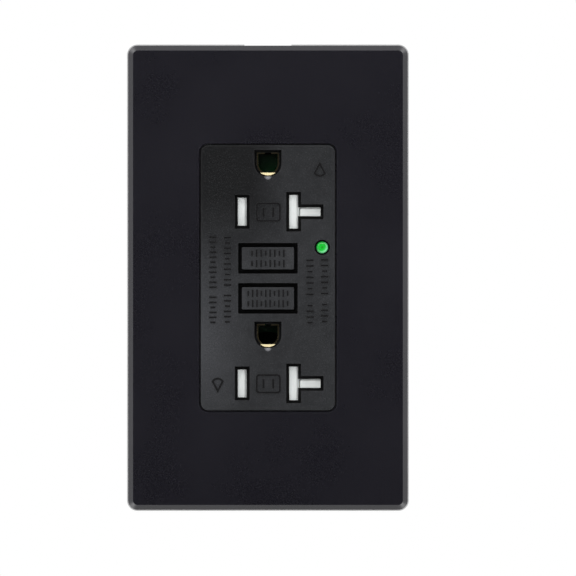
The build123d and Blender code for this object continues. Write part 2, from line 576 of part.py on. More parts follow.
def contact_strip(side):
    """Returns a strip with the female contacts of both outlets, a fixed contact and a load terminal."""
    grip = 0.8  # half the gap that grips a blade
    rail = mirrored((RAIL_X - SHEET / 2, RAIL_X + SHEET / 2), side)
    with BuildPart() as strip:
        block(rail, (6.0, 10.6), (BLADE_LINES["lower"] + 3.9, BLADE_LINES["upper"] - 3.9))
        for blade_z in BLADE_LINES.values():
            inner = mirrored((BLADE_X - grip - SHEET, BLADE_X - grip), side)
            outer = mirrored((BLADE_X + grip, BLADE_X + grip + SHEET), side)
            block(inner, (1.3, 10.0), between_outlets(blade_z, -3.4, 4.5))
            if side > 0:  # the neutral contact also takes a sideways blade
                block(outer, (1.3, 10.0), between_outlets(blade_z, -3.8, -grip - SHEET + 0.1))
                block(outer, (1.3, 10.0), between_outlets(blade_z, grip + SHEET - 0.1, 4.5))
                for low in (grip, -grip - SHEET):
                    block((outer[0], 13.6), (1.3, 10.0), between_outlets(blade_z, low, low + SHEET))
                block((13.0, 13.6), (6.0, 10.0), between_outlets(blade_z, -grip - 0.3, grip + 0.3))
            else:
                block(outer, (1.3, 10.0), between_outlets(blade_z, -3.4, 4.5))
            web = mirrored((BLADE_X - grip - SHEET, RAIL_X + SHEET / 2), side)
            block(web, (6.0, 10.0), between_outlets(blade_z, 3.9, 4.5))
        block(mirrored((ARM_X - 1.3, RAIL_X), side), (10.0, 10.6), (1.0, 5.0))
        rod(1.3, (10.5, ARM_Y - 0.65), (side * ARM_X, 3.0))
        block(mirrored((RAIL_X, TERMINAL_X + TERMINAL_T), side), (8.2, 10.0), (11.8, 12.4))
        plate = mirrored((TERMINAL_X, TERMINAL_X + TERMINAL_T), side)
        block(plate, (8.2, 13.6), (11.8, 15.5))
        block(plate, (12.6, 21.4), (TERMINAL_Z - 5, TERMINAL_Z + 5))
        side_rod(SCREW_8_R + 0.3, (plate[0] - 1, plate[1] + 1), TERMINAL_Y, TERMINAL_Z, Mode.SUBTRACT)
    return strip


save(contact_strip(-1), "hot_contact_strip")
save(contact_strip(1), "neutral_contact_strip")

# ---------------------------------------------------------------- line side
SENSOR_R, SENSOR_FRONT, SENSOR_BACK = 8.6, 13.3, 22.4
BORE_R = 3.0
BUS_Y = (12.5, 13.1)


def line_terminal(side):
    """Returns a line terminal: its side plate, and the bar through the sensor to the moving arm."""
    plate = mirrored((TERMINAL_X, TERMINAL_X + TERMINAL_T), side)
    bar = mirrored((0.7, 2.1), side)
    with BuildPart() as terminal:
        block(plate, (12.6, 21.4), (-TERMINAL_Z - 5, -TERMINAL_Z + 5))
        side_rod(SCREW_8_R + 0.3, (plate[0] - 1, plate[1] + 1), TERMINAL_Y, -TERMINAL_Z, Mode.SUBTRACT)
        block(plate, (19.0, 23.4), (-26.8, -22.6))
        block(mirrored((0.7, TERMINAL_X + TERMINAL_T), side), (22.8, 23.4), (-26.8, -25.2))
        block(bar, (22.8, 23.4), (-26.8, SENSOR_Z + 0.8))
        block(bar, (BUS_Y[0], 23.4), (SENSOR_Z - 0.8, SENSOR_Z + 0.8))
        block(mirrored((0.7, ARM_X + 1.2), side), BUS_Y, (SENSOR_Z - 0.8, SENSOR_Z + 0.8))
        block(mirrored((ARM_X - 1.1, ARM_X + 1.2), side), BUS_Y, (SENSOR_Z - 0.8, ARM_HINGE_Z + 0.9))
        rod(0.5, (ARM_Y - 0.5, BUS_Y[0] + 0.1), (side * ARM_X, ARM_HINGE_Z))  # rivet that holds the arm
        rod(0.9, (ARM_Y - 0.7, ARM_Y - 0.4), (side * ARM_X, ARM_HINGE_Z))
    return terminal


save(line_terminal(-1), "line_hot_terminal")
save(line_terminal(1), "line_neutral_terminal")

for side, name in ((-1, "hot_arm"), (1, "neutral_arm")):
    with BuildPart() as arm:
        block((side * ARM_X - 1.1, side * ARM_X + 1.1), (ARM_Y, ARM_Y + ARM_T),
              (ARM_HINGE_Z - 2.0, 4.6), corner=0.5)
        rod(1.3, (ARM_Y - 0.6, ARM_Y + 0.1), (side * ARM_X, 3.0))
        rod(0.6, (ARM_Y - 1, ARM_Y + 1), (side * ARM_X, ARM_HINGE_Z), Mode.SUBTRACT)
    save(arm, name)

with BuildPart() as sensor_housing:
    rod(SENSOR_R, (SENSOR_FRONT, SENSOR_BACK), (0, SENSOR_Z))
    rod(SENSOR_R - 0.8, (SENSOR_FRONT + 0.8, SENSOR_BACK + 1), (0, SENSOR_Z), Mode.SUBTRACT)
    rod(BORE_R + 0.7, (SENSOR_FRONT, SENSOR_BACK), (0, SENSOR_Z))
    rod(BORE_R, (SENSOR_FRONT - 1, SENSOR_BACK + 1), (0, SENSOR_Z), Mode.SUBTRACT)
save(sensor_housing, "sensor_housing")

for name, front in (("sense_coil", 14.3), ("neutral_coil", 18.5)):
    with BuildPart() as toroid:
        rod(7.4, (front, front + 3.6), (0, SENSOR_Z))
        rod(4.0, (front - 1, front + 5), (0, SENSOR_Z), Mode.SUBTRACT)
        fillet(toroid.edges().filter_by(GeomType.CIRCLE), 0.9)
    save(toroid, name)

# ---------------------------------------------------------------- terminal screws and clamps
for position, z in (("load", TERMINAL_Z), ("line", -TERMINAL_Z)):
    for side, pole in ((-1, "hot"), (1, "neutral")):
        head = (TERMINAL_X + TERMINAL_T + 0.1, TERMINAL_X + TERMINAL_T + 2.2)
        with BuildPart() as screw:
            side_rod(4.0, mirrored(head, side), TERMINAL_Y, z)
            fillet(screw.faces().sort_by(Axis.X)[-1 if side > 0 else 0].edges(), 0.5)
            side_rod(SCREW_8_R, mirrored((11.2, head[0] + 0.1), side), TERMINAL_Y, z)
            deep = mirrored((head[1] - 1.1, head[1] + 1), side)
            block(deep, (TERMINAL_Y - 4.5, TERMINAL_Y + 4.5), (z - 0.5, z + 0.5), Mode.SUBTRACT)
            block(deep, (TERMINAL_Y - 0.5, TERMINAL_Y + 0.5), (z - 2.2, z + 2.2), Mode.SUBTRACT)
        save(screw, f"{position}_{pole}_screw")

        with BuildPart() as clamp:
            plate = mirrored((CLAMP_X, CLAMP_X + CLAMP_T), side)
            block(plate, (13.2, 20.8), (z - 4.8, z + 4.8))
            side_rod(SCREW_8_R + CLEARANCE, (plate[0] - 1, plate[1] + 1), TERMINAL_Y, z, Mode.SUBTRACT)
        save(clamp, f"{position}_{pole}_clamp")

# ---------------------------------------------------------------- trip mechanism
LIFTER_Z = (-9.0, -2.3)
RIDGE_R = 0.8
with BuildPart() as lifter:
    block((-5.2, 5.2), (8.5, 13.8), LIFTER_Z, corner=0.6)
    ridge_y = ARM_Y + ARM_T + 0.05 + RIDGE_R
    side_rod(RIDGE_R, (-9.0, 9.0), ridge_y, BUTTON_Z["reset"])
    block((-9.0, 9.0), (ridge_y, 13.8), (BUTTON_Z["reset"] - RIDGE_R, BUTTON_Z["reset"] + RIDGE_R))
    block((-2.75, 2.75), (LATCH_Y - 0.15, LATCH_Y + LATCH_T + 0.15), (-20, 5), Mode.SUBTRACT)
    rod(PIN_R + 0.3, (0, 20), (0, BUTTON_Z["reset"]), Mode.SUBTRACT)
save(lifter, "lifter")

with BuildPart() as latch_plate:
    latch_end = PLUNGER_TIP_Z - 0.05
    block((-2.6, 2.6), (LATCH_Y, LATCH_Y + LATCH_T), (-10.0, latch_end))
    block((-2.6, 2.6), (LATCH_Y, PLUNGER_Y + 1.5), (latch_end - 0.8, latch_end))
    hook = BUTTON_Z["reset"] - PIN_NECK_R - 0.05
    keyhole_end = BUTTON_Z["reset"] + PIN_R + TRIP_STROKE + 0.2
    block((-1.5, 1.5), (LATCH_Y - 1, LATCH_Y + LATCH_T + 0.2), (hook, keyhole_end), Mode.SUBTRACT)
save(latch_plate, "latch_plate")

COLLAR_Z = 21.0
with BuildPart() as solenoid_plunger:
    upright_rod(PLUNGER_R, (PLUNGER_TIP_Z, COLLAR_Z + 0.8), y=PLUNGER_Y)
    upright_rod(3.0, (COLLAR_Z, COLLAR_Z + 0.8), y=PLUNGER_Y)
    chamfer(solenoid_plunger.faces().sort_by(Axis.Z)[0].edges(), 0.4)
save(solenoid_plunger, "solenoid_plunger")

with BuildPart() as solenoid_bobbin:
    upright_rod(PLUNGER_R + 0.8, BOBBIN_Z, y=PLUNGER_Y)
    for low in (BOBBIN_Z[0], BOBBIN_Z[1] - 0.8):
        upright_rod(4.8, (low, low + 0.8), y=PLUNGER_Y)
    upright_rod(PLUNGER_R + 0.08, (0, 20), y=PLUNGER_Y, mode=Mode.SUBTRACT)
save(solenoid_bobbin, "solenoid_bobbin")

with BuildPart() as solenoid_coil:
    span = (BOBBIN_Z[0] + 0.85, BOBBIN_Z[1] - 0.85)
    upright_rod(4.6, span, y=PLUNGER_Y)
    upright_rod(PLUNGER_R + 0.85, (0, 20), y=PLUNGER_Y, mode=Mode.SUBTRACT)
save(solenoid_coil, "solenoid_coil")

FRAME_T = 0.8
with BuildPart() as solenoid_frame:
    block((-5.4, 5.4), (13.0, 23.7), (BOBBIN_Z[0] - FRAME_T - 0.05, BOBBIN_Z[1] + FRAME_T + 0.05))
    block((-6, 6), (12, 23.7 - FRAME_T), (BOBBIN_Z[0] - 0.05, BOBBIN_Z[1] + 0.05), Mode.SUBTRACT)
    upright_rod(PLUNGER_R + 0.2, (0, 20), y=PLUNGER_Y, mode=Mode.SUBTRACT)
save(solenoid_frame, "solenoid_frame")

spring_base = BOBBIN_Z[1] + FRAME_T + 0.07
plunger_spring = coil_spring((0, PLUNGER_Y, spring_base), (0, 0, 1), 2.4, 0.3,
                             COLLAR_Z - spring_base - 0.02, 4)
save(plunger_spring, "plunger_spring")

# ---------------------------------------------------------------- circuit board
with BuildPart() as circuit_board:
    board_y = (BOARD_FRONT, BOARD_FRONT + BOARD_T)
    block((-11.4, 11.4), board_y, (-30.5, 30.5), corner=1.0)
    block((10.5, LIGHT_X + 2), board_y, (LIGHT_Z - 3, LIGHT_Z + 3))
    for place in CASE_SCREWS:
        rod(2.8, (board_y[0] - 1, board_y[1] + 1), place, Mode.SUBTRACT)
save(circuit_board, "circuit_board")

with BuildPart() as status_led:
    block((LIGHT_X - 1, LIGHT_X + 1), (BOARD_FRONT - 0.8, BOARD_FRONT), (LIGHT_Z - 0.7, LIGHT_Z + 0.7))
save(status_led, "status_led")

with BuildPart() as control_chip:
    chip_z = 26.5
    block((-9.6, -4.6), (BOARD_FRONT - 1.7, BOARD_FRONT - 0.2), (chip_z - 2, chip_z + 2))
    for side in (-1, 1):
        for pin in range(4):
            pin_x = -9.0 + pin * 1.27
            low, high = sorted((chip_z + side * 1.9, chip_z + side * 3.0))
            block((pin_x - 0.2, pin_x + 0.2), (BOARD_FRONT - 0.5, BOARD_FRONT), (low, high))
save(control_chip, "control_chip")

with BuildPart() as capacitors:
    block((4.4, 10.8), (BOARD_FRONT - 8.5, BOARD_FRONT), (23.2, 27.8), corner=1.0)
    rod(2.2, (BOARD_FRONT - 6.5, BOARD_FRONT), (8.6, 19.6))
    rod(1.6, (BOARD_FRONT - 5.0, BOARD_FRONT), (-8.6, 19.6))
save(capacitors, "capacitors")

with BuildPart() as varistor:  # a disc standing on edge
    with BuildSketch(Plane.XY.offset(-12.2)) as disc:
        with Locations((-7.0, BOARD_FRONT - 4.6)):
            Circle(3.6)
    extrude(disc.sketch, amount=2.6)
    block((-9.2, -4.8), (BOARD_FRONT - 1.2, BOARD_FRONT), (-11.4, -10.6))
save(varistor, "varistor")

# ---------------------------------------------------------------- rear case
with BuildPart() as rear_case:
    block((-CASE_W / 2, CASE_W / 2), (0.2, CASE_BACK), (-CASE_H / 2, CASE_H / 2), corner=1.5)
    chamfer(rear_case.faces().sort_by(Axis.Y)[-1].edges(), 1.4)
    block((-CASE_W / 2 + CASE_WALL, CASE_W / 2 - CASE_WALL), (0, CASE_BACK - CASE_WALL),
          (-CASE_H / 2 + CASE_WALL, CASE_H / 2 - CASE_WALL), Mode.SUBTRACT, 0.8)
    for side in (-1, 1):
        for end in (-1, 1):
            window = mirrored((CASE_W / 2 - CASE_WALL - 1, CASE_W / 2 + 1), side)
            z = end * TERMINAL_Z
            block(window, (12.6, 21.8), (z - 5.3, z + 5.3), Mode.SUBTRACT)
            for row in (-WIRE_OFFSET, WIRE_OFFSET):
                rod(WIRE_HOLE_R, (CASE_BACK - 3, CASE_BACK + 1), (side * WIRE_X, z + row), Mode.SUBTRACT)
    for place in CASE_SCREWS:
        rod(2.6, (BOARD_FRONT - 1.2, CASE_BACK - 1), place)
        rod(CASE_SCREW_R + 0.15, (0, CASE_BACK + 1), place, Mode.SUBTRACT)
    block((-CASE_W / 2 - 1, -CASE_W / 2 + CASE_WALL + 0.5), (0, GROUND_TAB_Y + 4.6),
          (GROUND_TAB_Z - 4.5, GROUND_TAB_Z + 4.5), Mode.SUBTRACT)  # clears the ground screw
save(rear_case, "rear_case")

with BuildPart() as case_screws:
    for x, z in CASE_SCREWS:
        rod(2.2, (CASE_BACK, CASE_BACK + 1.3), (x, z))
        rod(CASE_SCREW_R, (INNER - 0.4, CASE_BACK + 0.1), (x, z))
        block((x - 1.5, x + 1.5), (CASE_BACK + 0.5, CASE_BACK + 2), (z - 0.3, z + 0.3), Mode.SUBTRACT)
        block((x - 0.3, x + 0.3), (CASE_BACK + 0.5, CASE_BACK + 2), (z - 1.5, z + 1.5), Mode.SUBTRACT)
save(case_screws, "case_screws")
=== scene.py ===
"""Looks for the ground-fault receptacle: materials, detailed pieces, light, floor and camera.

Metres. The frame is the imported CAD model: +X right, +Z up, +Y into the wall, wall plane at y = 0.
"""

import json
import math

import bmesh
import bpy
from mathutils import Matrix, Vector


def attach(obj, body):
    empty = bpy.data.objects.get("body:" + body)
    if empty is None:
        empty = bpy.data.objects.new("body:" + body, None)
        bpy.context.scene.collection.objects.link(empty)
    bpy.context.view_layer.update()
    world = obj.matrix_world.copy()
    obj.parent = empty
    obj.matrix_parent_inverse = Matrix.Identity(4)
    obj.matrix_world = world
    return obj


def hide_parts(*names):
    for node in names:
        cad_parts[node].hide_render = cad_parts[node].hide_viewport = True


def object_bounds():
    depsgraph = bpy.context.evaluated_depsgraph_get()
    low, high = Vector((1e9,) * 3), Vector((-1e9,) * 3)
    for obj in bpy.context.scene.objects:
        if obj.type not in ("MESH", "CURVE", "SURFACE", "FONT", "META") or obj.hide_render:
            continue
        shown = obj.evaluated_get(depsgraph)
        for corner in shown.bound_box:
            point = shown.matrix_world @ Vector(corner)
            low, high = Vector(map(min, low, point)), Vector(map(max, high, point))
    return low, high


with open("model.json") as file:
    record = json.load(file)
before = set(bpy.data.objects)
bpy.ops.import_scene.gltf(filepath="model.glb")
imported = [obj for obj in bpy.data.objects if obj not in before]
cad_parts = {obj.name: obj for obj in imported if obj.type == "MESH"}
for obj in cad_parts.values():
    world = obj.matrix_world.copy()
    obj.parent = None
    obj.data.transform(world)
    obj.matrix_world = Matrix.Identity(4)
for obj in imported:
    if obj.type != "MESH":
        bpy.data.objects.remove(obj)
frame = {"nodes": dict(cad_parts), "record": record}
cad_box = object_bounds()
nodes = frame["nodes"]

MM = 0.001
VIEW_WIDTH = 0.1423  # width of the picture at the object
VIEW_CENTRE = (0.00496, -0.00254)  # the picture's centre, from the middle of the plate
# ground pin heights, and how far under each pin the painted highlight on its lead-in sits
GROUND_PIN_Z, HIGHLIGHT_BELOW_PIN = (28.2 * MM, -14.2 * MM), 3.1 * MM
LIGHT = (13.4 * MM, 7.5 * MM)  # the status light's place on the face
FACE_FRONT = -6.3 * MM  # the receptacle's face and its buttons; moulded marks stand 0.18 mm prouder


# ---------------------------------------------------------------- node helpers
class Shader:
    """A material's node tree, built from short calls."""

    def __init__(self, name):
        self.material = bpy.data.materials.new(name)
        self.material.use_nodes = True
        self.tree = self.material.node_tree
        self.principled = self.tree.nodes["Principled BSDF"]

    def node(self, kind, inputs=None, **settings):
        made = self.tree.nodes.new(kind)
        for key, value in settings.items():
            setattr(made, key, value)
        for key, value in (inputs or {}).items():
            self.feed(made.inputs[key], value)
        return made

    def feed(self, socket, value):
        if isinstance(value, bpy.types.NodeSocket):
            self.tree.links.new(value, socket)
        else:
            socket.default_value = value

    def set(self, **inputs):
        """Sets the principled shader's inputs, with underscores for spaces."""
        for key, value in inputs.items():
            self.feed(self.principled.inputs[key.replace("_", " ")], value)

    def place(self, scale=(1, 1, 1)):
        """Object coordinates, in metres times scale."""
        coordinates = self.node("ShaderNodeTexCoord").outputs["Object"]
        return self.node("ShaderNodeMapping", {"Vector": coordinates, "Scale": scale}).outputs["Vector"]

    def axes(self):
        """The x, y and z of the object coordinates."""
        split = self.node("ShaderNodeSeparateXYZ", {0: self.place()})
        return [split.outputs[axis] for axis in "XYZ"]

    def distance(self, point, scale=(1, 1, 1)):
        """How far the object coordinates times scale are from point."""
        apart = self.node("ShaderNodeVectorMath", {0: self.place(scale), 1: point}, operation="DISTANCE")
        return apart.outputs["Value"]

    def noise(self, scale, detail=2.0, roughness=0.5, stretch=(1, 1, 1)):
        """Noise whose grain is scale per metre."""
        inputs = {"Vector": self.place(stretch), "Scale": scale, "Detail": detail, "Roughness": roughness}
        return self.node("ShaderNodeTexNoise", inputs).outputs["Fac"]

    def ramp(self, value, low, high, start=0.0, end=1.0):
        """value from low to high, mapped to start to end and clamped."""
        inputs = {"Value": value, "From Min": low, "From Max": high, "To Min": start, "To Max": end}
        return self.node("ShaderNodeMapRange", inputs).outputs["Result"]

    def math(self, operation, a, b=0.0):
        return self.node("ShaderNodeMath", {0: a, 1: b}, operation=operation).outputs["Value"]

    def blend(self, amount, first, second):
        """A colour between first and second."""
        inputs = {"Factor": amount, "A": first, "B": second}
        made = self.tree.nodes.new("ShaderNodeMix")
        made.data_type = "RGBA"
        self.feed(made.inputs["Factor"], inputs["Factor"])
        for key in ("A", "B"):
            socket = next(s for s in made.inputs if s.name == key and s.type == "RGBA")
            self.feed(socket, inputs[key])
        return next(s for s in made.outputs if s.type == "RGBA")

    def edge(self, radius, low=0.02, high=0.25):
        """1 at edges that stand proud or sink within radius, 0 on flats."""
        bevelled = self.node("ShaderNodeBevel", {"Radius": radius}, samples=6).outputs["Normal"]
        plain = self.node("ShaderNodeNewGeometry").outputs["Normal"]
        dot = self.node("ShaderNodeVectorMath", {0: bevelled, 1: plain}, operation="DOT_PRODUCT")
        return self.ramp(self.math("SUBTRACT", 1.0, dot.outputs["Value"]), low, high)

    def bump(self, height, distance, strength=1.0):
        inputs = {"Height": height, "Distance": distance, "Strength": strength}
        return self.node("ShaderNodeBump", inputs).outputs["Normal"]


def rgb(value):
    """A linear colour from an sRGB one, each 0 to 255."""
    parts = [(c / 255 / 12.92) if c <= 10 else ((c / 255 + 0.055) / 1.055) ** 2.4 for c in value]
    return (*parts, 1.0)


# ---------------------------------------------------------------- materials
def satin_plate():
    """Near-black satin plastic of the wall plate, with a faint moulded texture."""
    s = Shader("satin_plate")
    broad = s.noise(45, 3)
    fine = s.noise(2600, 2)
    tone = s.blend(s.ramp(broad, 0.3, 0.7), rgb((14, 13, 19)), rgb((17, 16, 22)))
    worn = s.blend(s.math("MULTIPLY", s.edge(0.0003), 0.4), tone, rgb((64, 64, 70)))
    uneven = s.math("ADD", broad, s.math("MULTIPLY", fine, 0.5))
    s.set(Base_Color=worn, Roughness=s.ramp(uneven, 0.4, 1.1, 0.25, 0.33))
    s.set(Normal=s.bump(fine, 0.000012), Specular_IOR_Level=0.5, IOR=1.5)
    return s.material


def grained_face(name, dark, light):
    """Charcoal matte plastic of the face and buttons: mottled, with a fine spark-eroded grain, painted
    shade toward the upper left, toward the top and in recesses, painted light toward the left middle, and
    painted highlights along edges and under the ground holes.
    """
    s = Shader(name)
    clouds = s.noise(70, 4, 0.6)
    mottle = s.noise(420, 3, 0.6)
    grain = s.noise(3000, 3, 0.65)
    shade = s.math("ADD", s.math("MULTIPLY", clouds, 0.55), s.math("MULTIPLY", mottle, 0.45))
    tone = s.blend(s.ramp(shade, 0.38, 0.64), rgb(dark), rgb(light))
    x, y, z = s.axes()
    # painted shade: the face grows darker toward the upper left and toward the top
    painted_shade_upper_left = s.math("MULTIPLY", s.ramp(x, 4 * MM, -4 * MM), s.ramp(z, 3 * MM, 20 * MM, 0.0, 0.85))
    tone = s.blend(painted_shade_upper_left, tone, rgb((5, 5, 6)))
    tone = s.blend(s.ramp(z, 20 * MM, 32 * MM, 0.0, 0.25), tone, rgb((5, 5, 6)))
    # painted light: the face grows paler toward its left middle
    painted_light_left_middle = s.distance((-25.5 * MM, FACE_FRONT, -11 * MM), (1.5, 1, 0.7))
    tone = s.blend(s.ramp(painted_light_left_middle, 19 * MM, 2 * MM, 0.0, 0.85), tone, rgb((50, 51, 54)))
    tone = s.blend(s.ramp(grain, 0.35, 0.65, 0.35, 0.0), tone, rgb((12, 13, 14)))
    tone = s.blend(s.ramp(grain, 0.55, 0.72, 0.0, 0.2), tone, rgb((74, 75, 77)))
    proud = s.ramp(y, FACE_FRONT - 0.04 * MM, FACE_FRONT - 0.1 * MM, 0.0, 0.9)
    tone = s.blend(proud, tone, rgb((5, 5, 6)))
    # painted highlight: pale lines along the edges of the face and its moulded marks
    tone = s.blend(s.math("MULTIPLY", s.edge(0.0001), 0.3), tone, rgb((90, 90, 92)))
    # painted shade: surfaces sunk 0.3 to 0.8 mm behind the face front darken to near black
    tone = s.blend(s.ramp(y, FACE_FRONT + 0.3 * MM, FACE_FRONT + 0.8 * MM, 0.0, 0.94), tone, rgb((3, 3, 3)))
    for pin_z in GROUND_PIN_Z:  # a painted highlight on the lead-in under each ground hole
        lead_in_highlight = s.distance((0, FACE_FRONT + 0.3 * MM, pin_z - HIGHLIGHT_BELOW_PIN))
        tone = s.blend(s.ramp(lead_in_highlight, 1.0 * MM, 0.45 * MM, 0.0, 0.8), tone, rgb((128, 128, 132)))
    s.set(Base_Color=tone, Roughness=s.ramp(grain, 0.3, 0.7, 0.5, 0.72), Specular_IOR_Level=0.18)
    relief = s.math("ADD", grain, s.math("MULTIPLY", mottle, 0.6))
    s.set(Normal=s.bump(relief, 0.00005, 0.9))
    return s.material


def dull_black(name, dark, light, roughness, grain):
    """Moulded black plastic that catches little light."""
    s = Shader(name)
    fine = s.noise(grain, 3, 0.6)
    broad = s.noise(110, 3)
    tone = s.blend(s.ramp(broad, 0.3, 0.7), rgb(dark), rgb(light))
    lifted = tuple(min(255, c * 2.2 + 12) for c in light)
    worn = s.blend(s.math("MULTIPLY", s.edge(0.0003), 0.45), tone, rgb(lifted))
    s.set(Base_Color=worn, Roughness=s.ramp(fine, 0.3, 0.7, roughness - 0.08, roughness + 0.1))
    s.set(Normal=s.bump(fine, 0.00003, 0.7), Specular_IOR_Level=0.25)
    return s.material


def moulded(name, dark, light, roughness=0.35, grain=1500, through=0.0):
    """Coloured moulded plastic. through lets some light scatter inside it."""
    s = Shader(name)
    broad = s.noise(160, 3)
    fine = s.noise(grain, 2)
    tone = s.blend(s.ramp(broad, 0.3, 0.7), rgb(dark), rgb(light))
    s.set(Base_Color=tone, Roughness=s.ramp(fine, 0.3, 0.7, roughness - 0.05, roughness + 0.08))
    s.set(Subsurface_Weight=through, Subsurface_Radius=(MM, MM, MM), Normal=s.bump(fine, 0.000012, 0.6))
    return s.material


def metal(name, dark, light, roughness, brushed=(1, 1, 1), grain=900, tarnish=None):
    """Metal with streaks (brushed scales the noise by axis), brighter rubbed edges and dull patches."""
    s = Shader(name)
    streaks = s.noise(grain, 3, 0.6, brushed)
    patches = s.noise(170, 4, 0.6)
    tone = s.blend(s.ramp(streaks, 0.3, 0.7), rgb(dark), rgb(light))
    if tarnish:
        tone = s.blend(s.ramp(patches, 0.52, 0.75, 0.0, 0.6), tone, rgb(tarnish))
    bright = tuple(min(255, c + 22) for c in light)
    worn = s.blend(s.math("MULTIPLY", s.edge(0.00025), 0.5), tone, rgb(bright))
    uneven = s.math("ADD", s.math("MULTIPLY", streaks, 0.5), s.math("MULTIPLY", patches, 0.5))
    s.set(Roughness=s.ramp(uneven, 0.35, 0.65, roughness - 0.06, roughness + 0.12))
    s.set(Base_Color=worn, Metallic=1.0, Normal=s.bump(streaks, 0.000008, 0.6))
    return s.material


def lit_lens():
    """Clear green lens over a lit diode: a dark die, a paler crescent low on the right as a painted
    highlight, and a dark rim as painted shade.
    """
    s = Shader("lit_lens")
    fine = s.noise(900, 2)
    x, y, z = s.axes()

    def distance(right, up):
        """How far a point is from one beside the lens's middle."""
        across = s.math("POWER", s.math("ABSOLUTE", s.math("SUBTRACT", x, LIGHT[0] + right)), 2.0)
        along = s.math("POWER", s.math("ABSOLUTE", s.math("SUBTRACT", z, LIGHT[1] + up)), 2.0)
        return s.math("SQRT", s.math("ADD", across, along))

    glow = s.blend(s.ramp(distance(0, 0), 0.5 * MM, 1.5 * MM), rgb((14, 142, 34)), rgb((14, 112, 38)))
    # painted highlight: a paler crescent low on the right of the lens
    crescent = s.ramp(distance(-0.35 * MM, 0.35 * MM), 1.1 * MM, 1.65 * MM, 0.0, 0.8)
    die = s.ramp(distance(0, 0), 0.5 * MM, 0.15 * MM, 0.0, 0.75)
    # painted shade: a dark ring at the edge of the lens
    rim = s.ramp(distance(0, 0), 1.38 * MM, 1.5 * MM, 0.0, 0.95)
    for amount, colour in ((crescent, (100, 186, 128)), (die, (24, 90, 26)), (rim, (1, 14, 7))):
        glow = s.blend(amount, glow, rgb(colour))
    lit = s.ramp(y, FACE_FRONT + 1.2 * MM, FACE_FRONT + 0.3 * MM, 0.0, 0.28)
    s.set(Base_Color=glow, Emission_Color=glow, Emission_Strength=lit)
    s.set(Roughness=s.ramp(fine, 0.3, 0.7, 0.06, 0.14))
    s.set(IOR=1.49, Coat_Weight=0.6, Coat_Roughness=0.05, Normal=s.bump(fine, 0.000006))
    return s.material


def enamelled_wire(name, dark, light):
    """Enamelled copper magnet wire."""
    s = Shader(name)
    patches = s.noise(240, 3)
    fine = s.noise(1800, 2)
    tone = s.blend(s.ramp(patches, 0.3, 0.7), rgb(dark), rgb(light))
    s.set(Base_Color=tone, Metallic=0.85, Roughness=s.ramp(fine, 0.3, 0.7, 0.22, 0.34))
    s.set(Coat_Weight=0.7, Coat_Roughness=0.12, Normal=s.bump(fine, 0.000006))
    return s.material


def solder_mask():
    """Green solder mask with the weave of the board just showing."""
    s = Shader("solder_mask")
    place = s.place()
    thread_count = {"Vector": place, "Scale": 620, "Distortion": 0.3}
    across, along = (s.node("ShaderNodeTexWave", thread_count, bands_direction=axis) for axis in "XZ")
    weave = s.math("MULTIPLY", across.outputs["Fac"], along.outputs["Fac"])
    broad = s.noise(130, 3)
    tone = s.blend(s.ramp(broad, 0.3, 0.7), rgb((14, 72, 34)), rgb((22, 96, 46)))
    woven = s.blend(s.math("MULTIPLY", weave, 0.25), tone, rgb((60, 130, 70)))
    s.set(Base_Color=woven, Roughness=s.ramp(broad, 0.3, 0.7, 0.25, 0.36))
    s.set(Coat_Weight=0.4, Coat_Roughness=0.2, Normal=s.bump(weave, 0.00001, 0.5))
    return s.material


def pale_floor():
    """Matte white paper."""
    s = Shader("pale_floor")
    fine = s.noise(300, 3)
    s.set(Base_Color=s.blend(fine, rgb((236, 236, 236)), rgb((246, 246, 246))), Roughness=0.9)
    return s.material


STREAKS_X, STREAKS_Y, STREAKS_Z = (0.06, 1, 1), (1, 0.06, 1), (1, 1, 0.1)  # the axis that streaks run along
materials = {
    "plate": satin_plate(),
    "face": grained_face("grained_face", (27, 28, 30), (35, 36, 38)),
    "button": grained_face("grained_button", (34, 35, 37), (42, 43, 45)),
    "inner_black": dull_black("inner_black", (5, 5, 5), (9, 9, 10), 0.65, 1800),
    "shutter_white": moulded("shutter_white", (192, 195, 194), (206, 209, 208), 0.32, 1400, 0.1),
    "lens": lit_lens(),
    "carrier_black": dull_black("carrier_black", (14, 14, 15), (24, 24, 25), 0.6, 1500),
    "case_black": dull_black("case_black", (26, 26, 28), (38, 38, 40), 0.5, 1300),
    "white_nylon": moulded("white_nylon", (214, 212, 200), (230, 228, 218), 0.42, 1200, 0.15),
    "brass": metal("brass_sheet", (206, 172, 104), (232, 204, 140), 0.26, STREAKS_X, 700, (168, 128, 74)),
    "rubbed_brass": metal("rubbed_brass", (204, 189, 144), (226, 212, 170), 0.24, STREAKS_X, 700),
    "silver_plate": metal("nickel_plate", (176, 172, 160), (204, 200, 190), 0.24, STREAKS_X, 700),
    "steel": metal("zinc_steel", (158, 160, 162), (190, 192, 194), 0.3, STREAKS_Y, 600, (140, 138, 130)),
    "green_screw": metal("green_zinc", (22, 92, 40), (44, 130, 62), 0.34, STREAKS_Z, 700),
    "copper": enamelled_wire("copper_wire", (150, 74, 40), (188, 104, 60)),
    "board": solder_mask(),
    "component_black": dull_black("component_black", (20, 20, 21), (30, 30, 31), 0.55, 1200),
    "component_blue": moulded("component_blue", (24, 60, 120), (36, 84, 150), 0.3),
    "spring_steel": metal("spring_wire", (150, 150, 150), (180, 180, 180), 0.26, (1, 1, 1), 900),
}
slot_of = {part["node"]: part["material_slot"] for part in frame["record"]["subparts"]}
slot_of |= {"test_button": "button", "reset_button": "button",
            "upper_ground_contact": "rubbed_brass", "lower_ground_contact": "rubbed_brass"}
for name, node in nodes.items():
    node.data.materials.clear()
    node.data.materials.append(materials[slot_of[name]])

# ---------------------------------------------------------------- detailed pieces
body_with = {node: body for body, held in frame["record"]["behaviour"]["bodies"].items() for node in held}
ROUND = 32  # sides of a turned surface
SMOOTH_BELOW = 38  # degrees between faces, above which an edge stays sharp


